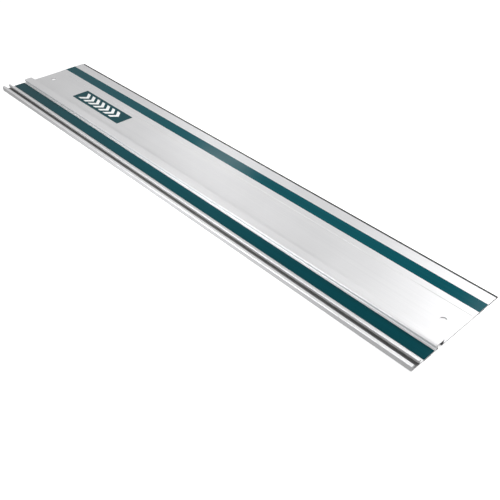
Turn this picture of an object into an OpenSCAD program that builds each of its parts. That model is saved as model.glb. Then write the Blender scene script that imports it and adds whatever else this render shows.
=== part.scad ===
// Guide rail (track) for a plunge-cut circular saw.
// One aluminium extrusion carries two glide strips, a splinter guard along the cutting edge,
// two grip strips on its underside and a label. Every strip is held by its own adhesive tape.
// Origin: middle of the length and of the whole width, on the plane the rail rests on.
// +X runs along the rail, +Y points to the cutting edge, +Z is up. Units are mm.

/* [Rail] */
// Length of the rail
rail_l = 1000; // [300:50:3000]
// Width of the aluminium profile
rail_w = 180; // [175:1:220]
// Height of the channel walls and of the rib above the resting plane
rail_h = 9.3; // [8.5:0.1:12]
// Thickness of the plate
plate_t = 1.7; // [1.5:0.1:2.5]
// Height of the fine step across the plate
step_h = 0.5; // [0.2:0.1:0.8]
// Distance of the step from the outer wall
step_u = 128.5; // [122:0.5:134]

/* [Edge channel] */
// Width of the channel's mouth
mouth_w = 8.4; // [7:0.1:10]
// Width of the channel under its lips
channel_w = 12.5; // [11:0.1:14]
// Thickness of the outer wall
wall_t = 2.9; // [1.5:0.1:3]
// Thickness of the wall between the channel and the outer glide strip
inner_t = 1.2; // [1:0.1:1.8]
// Thickness of the channel's floor
floor_t = 1.4; // [1.2:0.1:2]
// Depth of the channel's lips
lip_t = 4.1; // [2:0.1:5]

/* [Guide rib] */
// Distance of the rib from the outer wall
rib_u = 47.85; // [46.5:0.05:60]
// Width of the rib
rib_w = 15.6; // [14:0.1:18]
// Depth of the overhanging lip on the rib's outer side
rib_lip_t = 3.55; // [2:0.05:5]
// Overhang of that lip
rib_over = 1.2; // [0.6:0.1:2]
// Wall thickness of the rib
rib_t = 1.2; // [1:0.1:1.6]
// Width of the rounded edge along the rib's outer side
rib_round = 3.2; // [2:0.1:4]
// Width of the slot under the rib
rib_mouth_w = 8; // [7:0.1:9]

/* [Glide strips] */
// Width of a glide strip
glide_w = 20.75; // [18:0.05:21]
// Thickness of a glide strip without its tape
glide_t = 0.45; // [0.3:0.05:0.8]
// Distance of the outer glide strip from the outer wall
glide_a_u = 24.45; // [20:0.05:26]
// Distance of the inner glide strip from the outer wall
glide_b_u = 140.3; // [138:0.05:142]

/* [Splinter guard] */
// How far the guard stands out past the aluminium
guard_out = 5; // [2:0.1:6]
// Thickness of the guard without its tape
guard_t = 1.6; // [1:0.05:1.8]
// Width of the guard under the plate
guard_in = 16.6; // [12:0.1:17]

/* [Grip strips] */
// Width of a grip strip
grip_w = 14; // [10:0.5:16]
// Thickness of a grip strip without its tape
grip_t = 0.95; // [0.9:0.05:1]
// Centre of the outer grip strip from the outer wall
grip_a_u = 32; // [28:0.5:36]
// Centre of the inner grip strip from the outer wall
grip_b_u = 145; // [140:0.5:148]

/* [Holes and label] */
// Diameter of the two hanging holes
hole_d = 9; // [6:0.5:12]
// Distance of a hanging hole from the rail's end
hole_inset = 24; // [18:1:40]
// Distance of the hanging holes from the outer wall
hole_u = 97.5; // [90:0.5:110]
// Length of the label
label_l = 152.5; // [60:0.5:200]
// Width of the label
label_w = 34; // [20:1:36]
// Distance of the label from the rail's left end
label_x = 118.5; // [60:0.5:600]
// Distance of the label from the outer wall
label_u = 85.3; // [80:0.1:90]

/* [Hidden] */
$fn = 48;
tape_t = 0.15;
thin_tape_t = 0.1;
label_t = 0.25;
bed_gap = 0.3;
bed_d = 0.3;
slot_lip_t = 1.6;
rib_top_t = 1.6;
rib_round_h = 1.1;
z0 = grip_t + tape_t - bed_d;
zp = z0 + plate_t;
zs = zp + step_h;
zt = rail_h;
zf = z0 + floor_t;
zl = zt - lip_t;
zr = zt - rib_lip_t;
zb = z0 + slot_lip_t;
zm = guard_t + tape_t;
chan_r = wall_t + channel_w;
mouth_l = wall_t + (channel_w - mouth_w) / 2;
mouth_r = mouth_l + mouth_w;
chan_out = chan_r + inner_t;
rib_end = rib_u + rib_w;
rib_il = rib_u + rib_over + rib_t;
rib_ir = rib_end - rib_t;
rib_ml = (rib_il + rib_ir - rib_mouth_w) / 2;
rib_mr = rib_ml + rib_mouth_w;
bed_w = grip_w + 2 * bed_gap;
all_w = rail_w + guard_out;
y0 = -all_w / 2;

alu = [0.78, 0.79, 0.8];
teal = [0.05, 0.3, 0.33];
black = [0.05, 0.05, 0.06];
clear = [0.85, 0.85, 0.8];

// Runs a cross-section (distance from the outer wall, height) along the whole rail.
module along() {
    translate([-rail_l / 2, y0, 0])
        rotate([90, 0, 90])
            linear_extrude(height = rail_l)
                children();
}

// A flat strip along the whole rail.
module strip(u, w, z, t) {
    translate([-rail_l / 2, y0 + u, z])
        cube([rail_l, w, t]);
}

// The shallow bed under the plate that a grip strip sits in.
function grip_bed(u) = [[u - bed_w / 2, z0], [u - bed_w / 2, z0 + bed_d],
                        [u + bed_w / 2, z0 + bed_d], [u + bed_w / 2, z0]];

// Cross-section of the extrusion, anticlockwise from the bottom of the cutting edge.
module profile() {
    margin = [[rail_w, zm], [rail_w, zs - 0.3], [rail_w - 0.3, zs]];
    bed_b = [[glide_b_u + glide_w + 0.1, zs], [glide_b_u + glide_w + 0.1, zp],
             [glide_b_u - 0.1, zp], [glide_b_u - 0.1, zs]];
    step = [[step_u + 0.5, zs], [step_u - 0.5, zp]];
    rib_far = [[rib_end + 1, zp], [rib_end, zp + 1], [rib_end, zt - 0.8], [rib_end - 0.8, zt]];
    rib_near = [for (a = [0:22.5:90])
                    [rib_u + rib_round * (1 - sin(a)), zt - rib_round_h * (1 - cos(a))]];
    rib_lip = [[rib_u, zr + 0.2], [rib_u + 0.2, zr],
                [rib_u + rib_over, zr], [rib_u + rib_over, zp + 0.4],
                [rib_u + rib_over - 0.4, zp]];
    inner_wall = [[chan_out + 0.8, zp], [chan_out, zp + 0.8], [chan_out, zt - 0.5],
                  [chan_out - 0.5, zt], [mouth_r + 0.3, zt], [mouth_r, zt - 0.3],
                  [mouth_r, zl], [chan_r, zl], [chan_r, zf]];
    outer_wall = [[wall_t, zf], [wall_t, zl], [mouth_l, zl], [mouth_l, zt - 0.3],
                  [mouth_l - 0.3, zt], [0.5, zt], [0, zt - 0.5], [0, z0 + 0.4], [0.4, z0]];
    rib_slot = [[rib_ml, z0], [rib_ml, zb], [rib_il, zb], [rib_il, zt - rib_top_t],
                [rib_ir, zt - rib_top_t], [rib_ir, zb], [rib_mr, zb], [rib_mr, z0]];
    guard_bed = [[rail_w - guard_in - 0.5, z0], [rail_w - guard_in - 0.5, zm]];
    polygon(concat(margin, bed_b, step, rib_far, rib_near, rib_lip, inner_wall, outer_wall,
                   grip_bed(grip_a_u), rib_slot, grip_bed(grip_b_u), guard_bed));
}

module rail_extrusion() {
    color(alu)
        difference() {
            along() profile();
            for (s = [-1, 1])
                translate([s * (rail_l / 2 - hole_inset), y0 + hole_u, z0 - 1])
                    cylinder(d = hole_d, h = plate_t + 2);
        }
}

module glide_strip_outer() {
    color(teal) strip(glide_a_u, glide_w, zp + thin_tape_t, glide_t);
}

module glide_tape_outer() {
    color(clear) strip(glide_a_u, glide_w, zp, thin_tape_t);
}

module glide_strip_inner() {
    color(teal) strip(glide_b_u, glide_w, zp + thin_tape_t, glide_t);
}

module glide_tape_inner() {
    color(clear) strip(glide_b_u, glide_w, zp, thin_tape_t);
}

// The guard lies under the cutting margin and its lip stands out past the aluminium.
module splinter_guard() {
    color(black)
        along() polygon([[rail_w - guard_in, 0], [all_w - 0.4, 0], [all_w, 0.4],
                         [all_w, guard_t - 0.4], [all_w - 0.6, guard_t],
                         [rail_w - guard_in, guard_t]]);
}

module splinter_tape() {
    color(clear) strip(rail_w - guard_in, guard_in - 0.6, guard_t, tape_t);
}

module grip_strip_outer() {
    color(black) strip(grip_a_u - grip_w / 2, grip_w, 0, grip_t);
}

module grip_tape_outer() {
    color(clear) strip(grip_a_u - grip_w / 2, grip_w, grip_t, tape_t);
}

module grip_strip_inner() {
    color(black) strip(grip_b_u - grip_w / 2, grip_w, 0, grip_t);
}

module grip_tape_inner() {
    color(clear) strip(grip_b_u - grip_w / 2, grip_w, grip_t, tape_t);
}

// A rectangle with rounded corners, lying on the plate where the label goes.
module label_layer(z, t, r) {
    translate([-rail_l / 2 + label_x, y0 + label_u, z]) {
        translate([r, 0, 0]) cube([label_l - 2 * r, label_w, t]);
        translate([0, r, 0]) cube([label_l, label_w - 2 * r, t]);
        for (x = [r, label_l - r], y = [r, label_w - r])
            translate([x, y, 0]) cylinder(r = r, h = t);
    }
}

module label_plate() {
    color(teal) label_layer(zp + thin_tape_t, label_t, 0.8);
}

module label_tape() {
    color(clear) label_layer(zp, thin_tape_t, 0.8);
}

rail_extrusion();
glide_strip_outer();
glide_tape_outer();
glide_strip_inner();
glide_tape_inner();
splinter_guard();
splinter_tape();
grip_strip_outer();
grip_tape_outer();
grip_strip_inner();
grip_tape_inner();
label_plate();
label_tape();
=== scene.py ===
"""Looks for the saw guide rail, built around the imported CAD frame."""

import math

import bpy
from mathutils import Matrix, Vector


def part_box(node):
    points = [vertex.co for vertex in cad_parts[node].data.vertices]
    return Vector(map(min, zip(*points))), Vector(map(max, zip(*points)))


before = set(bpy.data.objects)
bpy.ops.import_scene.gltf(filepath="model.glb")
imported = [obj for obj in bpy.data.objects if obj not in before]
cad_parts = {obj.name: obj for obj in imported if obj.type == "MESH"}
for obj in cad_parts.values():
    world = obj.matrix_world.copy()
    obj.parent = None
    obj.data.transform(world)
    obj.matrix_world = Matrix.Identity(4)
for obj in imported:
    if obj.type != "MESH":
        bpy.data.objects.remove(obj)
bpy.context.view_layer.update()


# ---------------------------------------------------------------- node helpers
def new_material(name):
    mat = bpy.data.materials.new(name)
    mat.use_nodes = True
    tree = mat.node_tree
    tree.nodes.clear()
    out = tree.nodes.new("ShaderNodeOutputMaterial")
    shader = tree.nodes.new("ShaderNodeBsdfPrincipled")
    tree.links.new(shader.outputs["BSDF"], out.inputs["Surface"])
    return mat, tree, shader


def add(tree, kind, **settings):
    node = tree.nodes.new("ShaderNode" + kind)
    for key, value in settings.items():
        setattr(node, key, value)
    return node


def feed(tree, socket, value):
    """Links an output to an input, or sets the input's own value."""
    if isinstance(value, bpy.types.NodeSocket):
        tree.links.new(value, socket)
    else:
        socket.default_value = value


def math_op(tree, operation, a, b=0.0, c=0.0):
    node = add(tree, "Math", operation=operation)
    for socket, value in zip(node.inputs, (a, b, c)):
        feed(tree, socket, value)
    return node.outputs[0]


def ramp(tree, fac, stops):
    """A colour ramp; each stop is (position, grey) or (position, (r, g, b))."""
    node = add(tree, "ValToRGB")
    elements = node.color_ramp.elements
    while len(elements) < len(stops):
        elements.new(0.5)
    for element, (pos, col) in zip(elements, stops):
        element.position = pos
        if not isinstance(col, tuple):
            col = (col, col, col)
        element.color = (*col, 1.0)
    feed(tree, node.inputs["Fac"], fac)
    return node.outputs["Color"]


def blend_colour(tree, fac, a, b, mode="MIX"):
    """Mixes or multiplies two colours."""
    node = add(tree, "Mix", data_type="RGBA", blend_type=mode)
    feed(tree, node.inputs["Factor"], fac)
    feed(tree, node.inputs["A"], a)
    feed(tree, node.inputs["B"], b)
    return node.outputs["Result"]


def axes(tree, vector):
    """The X, Y and Z of a vector output."""
    split = add(tree, "SeparateXYZ")
    tree.links.new(vector, split.inputs[0])
    return split.outputs


def position(tree):
    """Object coordinates in metres."""
    return add(tree, "TexCoord").outputs["Object"]


def noise(tree, vector, scale, detail=2.0, stretch=(1, 1, 1), rough=0.5):
    """Noise over object coordinates; a small X in stretch draws it out along the rail."""
    mapping = add(tree, "Mapping")
    mapping.inputs["Scale"].default_value = stretch
    tree.links.new(vector, mapping.inputs["Vector"])
    node = add(tree, "TexNoise")
    tree.links.new(mapping.outputs[0], node.inputs["Vector"])
    node.inputs["Scale"].default_value = scale
    node.inputs["Detail"].default_value = detail
    node.inputs["Roughness"].default_value = rough
    return node.outputs["Fac"]


def bump(tree, height, strength, distance, normal=None):
    node = add(tree, "Bump")
    node.inputs["Strength"].default_value = strength
    node.inputs["Distance"].default_value = distance
    feed(tree, node.inputs["Height"], height)
    if normal is not None:
        tree.links.new(normal, node.inputs["Normal"])
    return node.outputs["Normal"]


def use(node_name, mat):
    """Gives a CAD node a material."""
    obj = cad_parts[node_name]
    obj.data.materials.clear()
    obj.data.materials.append(mat)


# ---------------------------------------------------------------- materials
# The two T-slots, darkened with painted shade: distances from the outer wall and heights, in
# metres.
CHANNEL_WIDTH = (0.0024, 0.0158)
CHANNEL_HEIGHT = (0.0021, 0.0053)
HOLLOW_WIDTH = (0.0495, 0.0628)
HOLLOW_HEIGHT = (0.0, 0.0079)
# How dark the painted shade makes the metal inside the T-slots.
SLOT_PAINTED_SHADE = 0.4


def band(tree, value, low, high):
    """1 between two heights or widths, else 0."""
    above = math_op(tree, "GREATER_THAN", value, low)
    return math_op(tree, "MULTIPLY", above, math_op(tree, "LESS_THAN", value, high))


def undercut_painted_shade(tree, y, z):
    """Painted shade: darker metal inside the two T-slots, where little light gets in."""
    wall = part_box("rail_extrusion")[0].y
    inside = 0.0
    for width, height in ((CHANNEL_WIDTH, CHANNEL_HEIGHT), (HOLLOW_WIDTH, HOLLOW_HEIGHT)):
        slot = math_op(tree, "MULTIPLY", band(tree, y, wall + width[0], wall + width[1]),
                       band(tree, z, *height))
        inside = math_op(tree, "MAXIMUM", slot, inside)
    return ramp(tree, inside, [(0.0, 1.0), (1.0, SLOT_PAINTED_SHADE)])


def alloy():
    """Satin anodised extrusion: fine die lines along X, faint handling marks, sawn ends,
    painted shade inside the T-slots.
    """
    mat, tree, shader = new_material("rail_alloy")
    pos = position(tree)
    y, z = axes(tree, pos)[1:3]
    fine = noise(tree, pos, 900, 3, (0.004, 1, 1), 0.6)
    medium = noise(tree, pos, 170, 3, (0.006, 1, 1), 0.55)
    cloud = noise(tree, pos, 9, 3)
    specks = noise(tree, pos, 1500, 2)

    facing = axes(tree, add(tree, "NewGeometry").outputs["Normal"])
    end_face = math_op(tree, "GREATER_THAN", math_op(tree, "ABSOLUTE", facing[0]), 0.9)
    saw_marks = noise(tree, pos, 1400, 2, (1, 0.35, 0.05), 0.6)

    lines = math_op(tree, "ADD", math_op(tree, "MULTIPLY", fine, 0.7),
                    math_op(tree, "MULTIPLY", medium, 0.3))
    along = ramp(tree, lines, [(0.3, (0.745, 0.745, 0.755)), (0.5, (0.775, 0.775, 0.783)),
                               (0.7, (0.80, 0.80, 0.805))])
    sawn = ramp(tree, saw_marks, [(0.3, (0.74, 0.745, 0.75)), (0.7, (0.9, 0.9, 0.9))])
    colour = blend_colour(tree, end_face, along, sawn)
    haze = ramp(tree, cloud, [(0.35, 0.96), (0.65, 1.0)])
    colour = blend_colour(tree, 1.0, colour, haze, "MULTIPLY")
    # Painted shade darkens the metal inside the T-slots.
    colour = blend_colour(tree, 1.0, colour, undercut_painted_shade(tree, y, z), "MULTIPLY")
    tree.links.new(colour, shader.inputs["Base Color"])
    shader.inputs["Metallic"].default_value = 0.72

    rough = math_op(tree, "MULTIPLY_ADD", lines, 0.16, 0.36)
    rough = math_op(tree, "MULTIPLY_ADD", cloud, 0.08, rough)
    rough = math_op(tree, "MULTIPLY_ADD", end_face, 0.08, rough)
    tree.links.new(rough, shader.inputs["Roughness"])

    normal = bump(tree, lines, 0.35, 0.00004)
    normal = bump(tree, specks, 0.12, 0.00002, normal)
    tree.links.new(normal, shader.inputs["Normal"])
    return mat


def glide_film(name, painted_light_scale):
    """Smooth teal low-friction film with a fine satin texture and faint rub marks along X."""
    mat, tree, shader = new_material(name)
    pos = position(tree)
    satin = noise(tree, pos, 2600, 2)
    rub = noise(tree, pos, 320, 3, (0.01, 1, 1), 0.6)
    cloud = noise(tree, pos, 14, 2)
    tone = math_op(tree, "ADD", math_op(tree, "MULTIPLY", rub, 0.6),
                   math_op(tree, "MULTIPLY", cloud, 0.4))
    # painted_light_scale brightens or darkens this copy of the film as painted light.
    colour = ramp(tree, tone, [(0.3, (0.0004, 0.046 * painted_light_scale, 0.058 * painted_light_scale)),
                               (0.55, (0.0006, 0.055 * painted_light_scale, 0.069 * painted_light_scale)),
                               (0.75, (0.0012, 0.064 * painted_light_scale, 0.079 * painted_light_scale))])
    tree.links.new(colour, shader.inputs["Base Color"])
    rough = math_op(tree, "MULTIPLY_ADD", rub, 0.1, 0.11)
    tree.links.new(rough, shader.inputs["Roughness"])
    shader.inputs["Specular IOR Level"].default_value = 0.06
    normal = bump(tree, satin, 0.25, 0.00003)
    normal = bump(tree, rub, 0.15, 0.00003, normal)
    tree.links.new(normal, shader.inputs["Normal"])
    return mat


def guard_rubber():
    """Black extruded rubber-like lip with fine die lines."""
    mat, tree, shader = new_material("guard_rubber")
    pos = position(tree)
    lines = noise(tree, pos, 800, 2, (0.01, 1, 1))
    grain = noise(tree, pos, 1800, 3)
    tone = math_op(tree, "MULTIPLY_ADD", grain, 0.4, math_op(tree, "MULTIPLY", lines, 0.6))
    colour = ramp(tree, tone, [(0.3, (0.012, 0.012, 0.013)), (0.7, (0.026, 0.026, 0.028))])
    tree.links.new(colour, shader.inputs["Base Color"])
    rough = math_op(tree, "MULTIPLY_ADD", grain, 0.2, 0.5)
    tree.links.new(rough, shader.inputs["Roughness"])
    shader.inputs["Specular IOR Level"].default_value = 0.3
    normal = bump(tree, tone, 0.3, 0.00005)
    tree.links.new(normal, shader.inputs["Normal"])
    return mat


def grip_foam():
    """Dark closed-cell foam."""
    mat, tree, shader = new_material("grip_foam")
    pos = position(tree)
    cells = add(tree, "TexVoronoi", feature="F1")
    tree.links.new(pos, cells.inputs["Vector"])
    cells.inputs["Scale"].default_value = 1100
    grain = noise(tree, pos, 700, 3)
    tone = math_op(tree, "MULTIPLY", cells.outputs["Distance"], grain)
    colour = ramp(tree, tone, [(0.05, (0.012, 0.012, 0.013)), (0.4, (0.05, 0.05, 0.052))])
    tree.links.new(colour, shader.inputs["Base Color"])
    shader.inputs["Roughness"].default_value = 0.9
    normal = bump(tree, cells.outputs["Distance"], 0.7, 0.0002)
    tree.links.new(normal, shader.inputs["Normal"])
    return mat


def adhesive():
    """Thin double-sided tape; only its edges show."""
    mat, tree, shader = new_material("adhesive_tape")
    pos = position(tree)
    tone = noise(tree, pos, 600, 3, (0.2, 1, 1))
    colour = ramp(tree, tone, [(0.3, (0.50, 0.49, 0.44)), (0.7, (0.66, 0.65, 0.60))])
    tree.links.new(colour, shader.inputs["Base Color"])
    rough = math_op(tree, "MULTIPLY_ADD", tone, 0.3, 0.35)
    tree.links.new(rough, shader.inputs["Roughness"])
    return mat


def label_film():
    """Dark teal printed film with a generic row of white chevrons."""
    mat, tree, shader = new_material("label_film")
    pos = position(tree)
    x, y = axes(tree, pos)[0:2]
    low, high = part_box("label_plate")
    length, width = high.x - low.x, high.y - low.y
    # How many cells the label's length holds, and how thick, wide and slanted a chevron is.
    cells, thick, reach, slope = 9.0, 0.52, 0.33, 0.22
    s = math_op(tree, "DIVIDE", math_op(tree, "SUBTRACT", x, low.x), length)
    t = math_op(tree, "DIVIDE", math_op(tree, "SUBTRACT", y, (low.y + high.y) / 2), width)
    half = math_op(tree, "ABSOLUTE", t)
    # Chevrons point to +X: the phase grows with the distance from the label's middle line.
    slant = math_op(tree, "MULTIPLY_ADD", half, slope, -0.036)
    phase = math_op(tree, "ADD", s, slant)
    wave = math_op(tree, "FRACT", math_op(tree, "MULTIPLY", phase, cells))
    bar = math_op(tree, "LESS_THAN", wave, thick)
    inside = math_op(tree, "LESS_THAN", half, reach)
    start = math_op(tree, "GREATER_THAN", phase, 1.0 / cells)
    stop = math_op(tree, "LESS_THAN", phase, 1.0 - 1.0 / cells)
    mark = math_op(tree, "MULTIPLY", math_op(tree, "MULTIPLY", bar, inside),
                   math_op(tree, "MULTIPLY", start, stop))
    grain = noise(tree, pos, 1200, 2)
    film = ramp(tree, grain, [(0.3, (0.002, 0.046, 0.056)), (0.7, (0.004, 0.058, 0.070))])
    ink = ramp(tree, grain, [(0.3, (0.80, 0.82, 0.82)), (0.7, (0.90, 0.91, 0.91))])
    tree.links.new(blend_colour(tree, mark, film, ink), shader.inputs["Base Color"])
    rough = math_op(tree, "MULTIPLY_ADD", grain, 0.12, 0.24)
    tree.links.new(rough, shader.inputs["Roughness"])
    shader.inputs["Specular IOR Level"].default_value = 0.07
    normal = bump(tree, grain, 0.12, 0.00003)
    tree.links.new(normal, shader.inputs["Normal"])
    return mat


# The two strips are one film; the inner one is painted paler and the outer one a little
# darker, as painted light.
looks = [
    (alloy(), ["rail_extrusion"]),
    (glide_film("glide_film_outer", 0.92), ["glide_strip_outer"]),
    (glide_film("glide_film_inner", 1.28), ["glide_strip_inner"]),
    (adhesive(), ["glide_tape_outer", "glide_tape_inner", "splinter_tape",
                  "grip_tape_outer", "grip_tape_inner", "label_tape"]),
    (guard_rubber(), ["splinter_guard"]),
    (grip_foam(), ["grip_strip_outer", "grip_strip_inner"]),
    (label_film(), ["label_plate"]),
]
for material, names in looks:
    for name in names:
        use(name, material)


# ---------------------------------------------------------------- studio
def floor_plane(size=24.0):
    """A plain white floor that neither mirrors in the metal nor lights it."""
    mesh = bpy.data.meshes.new("floor")
    h = size / 2
    mesh.from_pydata([(-h, -h, 0), (h, -h, 0), (h, h, 0), (-h, h, 0)], [], [(0, 1, 2, 3)])
    floor = bpy.data.objects.new("floor", mesh)
    bpy.context.scene.collection.objects.link(floor)
    mat, _, shader = new_material("floor_white")
    shader.inputs["Base Color"].default_value = (0.92, 0.92, 0.92, 1)
    shader.inputs["Roughness"].default_value = 0.9
    shader.inputs["Specular IOR Level"].default_value = 0.1
    shader.inputs["Emission Color"].default_value = (1, 1, 1, 1)
    shader.inputs["Emission Strength"].default_value = 0.45
    mesh.materials.append(mat)
    floor.visible_glossy = False
    floor.visible_diffuse = False


def area_light(name, where, target, size, power):
    """A soft rectangular lamp, aimed at a point and unseen by the camera."""
    data = bpy.data.lights.new(name, "AREA")
    data.shape = "RECTANGLE"
    data.size, data.size_y = size
    data.energy = power
    light = bpy.data.objects.new(name, data)
    light.location = where
    aim = Vector(target) - Vector(where)
    light.rotation_euler = aim.to_track_quat("-Z", "Y").to_euler()
    light.visible_camera = False
    bpy.context.scene.collection.objects.link(light)


def backdrop(radius=11.0, height=9.0, sides=64):
    """A white wall round the floor, seen by the camera only."""
    turns = [2 * math.pi * k / sides for k in range(sides)]
    ring = [(radius * math.cos(a), radius * math.sin(a)) for a in turns]
    points = [(x, y, -0.5) for x, y in ring] + [(x, y, height) for x, y in ring]
    faces = [(k, (k + 1) % sides, sides + (k + 1) % sides, sides + k) for k in range(sides)]
    mesh = bpy.data.meshes.new("backdrop")
    mesh.from_pydata(points, [], faces)
    wall = bpy.data.objects.new("backdrop", mesh)
    bpy.context.scene.collection.objects.link(wall)
    mat, _, shader = new_material("backdrop_white")
    shader.inputs["Base Color"].default_value = (0, 0, 0, 1)
    shader.inputs["Specular IOR Level"].default_value = 0
    shader.inputs["Emission Color"].default_value = (1, 1, 1, 1)
    shader.inputs["Emission Strength"].default_value = 1.0
    mesh.materials.append(mat)
    for ray in ("glossy", "diffuse", "transmission", "shadow", "volume_scatter"):
        setattr(wall, "visible_" + ray, False)


def studio_sky(below, top, strength):
    """A white sky, dimmer overhead and under the horizon, where a real table would be."""
    world = bpy.data.worlds.new("studio")
    world.use_nodes = True
    tree = world.node_tree
    upward = axes(tree, add(tree, "TexCoord").outputs["Generated"])[2]
    # Height runs from 0, straight down, past 0.5, the horizon, to 1, straight up.
    height = math_op(tree, "MULTIPLY_ADD", upward, 0.5, 0.5)
    sky = ramp(tree, height, [(0.44, below), (0.54, 1.0), (0.70, 1.0), (0.86, top)])
    background = tree.nodes["Background"]
    tree.links.new(sky, background.inputs["Color"])
    background.inputs["Strength"].default_value = strength
    bpy.context.scene.world = world


floor_plane()
backdrop()
studio_sky(0.3, 0.46, 0.82)

# Softboxes in front of the edge channel light the walls and the rib's near side.
area_light("front", (0.1, -0.5, 0.25), (0.1, 0, 0), (0.5, 0.4), 1.2)
area_light("front_left", (-0.1, -0.36, 0.22), (-0.1, 0, 0), (0.3, 0.26), 1.15)
area_light("front_low", (0.03, -0.45, 0.05), (0.03, 0, 0), (0.45, 0.06), 1.0)
# A long strip light overhead draws thin lines along the rib's round edge and the step.
area_light("overhead", (0.0, -0.05, 1.2), (0, -0.02, 0), (1.4, 0.15), 1.7)
# The near end of the plate mirrors this one.
area_light("near_end", (0.3, 0.9, 1.0), (0.45, 0, 0), (0.4, 0.4), 3.8)
# A side fill lights the near sawn end and the near part of the inner strip.
area_light("side_fill", (0.85, 0.35, 0.35), (0.45, 0.05, 0), (0.3, 0.2), 2.2)
# A small lamp whose soft glint lies half way along the inner glide strip.
area_light("glint", (-0.534, 0.5, 0.42), (0, 0.06, 0), (0.16, 0.06), 0.2)

# ---------------------------------------------------------------- camera
cam_data = bpy.data.cameras.new("camera")
cam = bpy.data.objects.new("camera", cam_data)
cam_data.sensor_width = 36
cam_data.lens = 48.86
cam_data.shift_x = -0.0385
cam_data.shift_y = 0.001
cam.location = (0.7629, -0.57215, 0.5982)
view = Vector((0.2259, -0.05685, 0)) - cam.location
turn = view.to_track_quat("-Z", "Y").to_matrix() @ Matrix.Rotation(math.radians(0.39), 3, "Z")
cam.rotation_euler = turn.to_euler()
bpy.context.scene.collection.objects.link(cam)
bpy.context.scene.camera = cam
bpy.context.scene.view_settings.view_transform = "Standard"
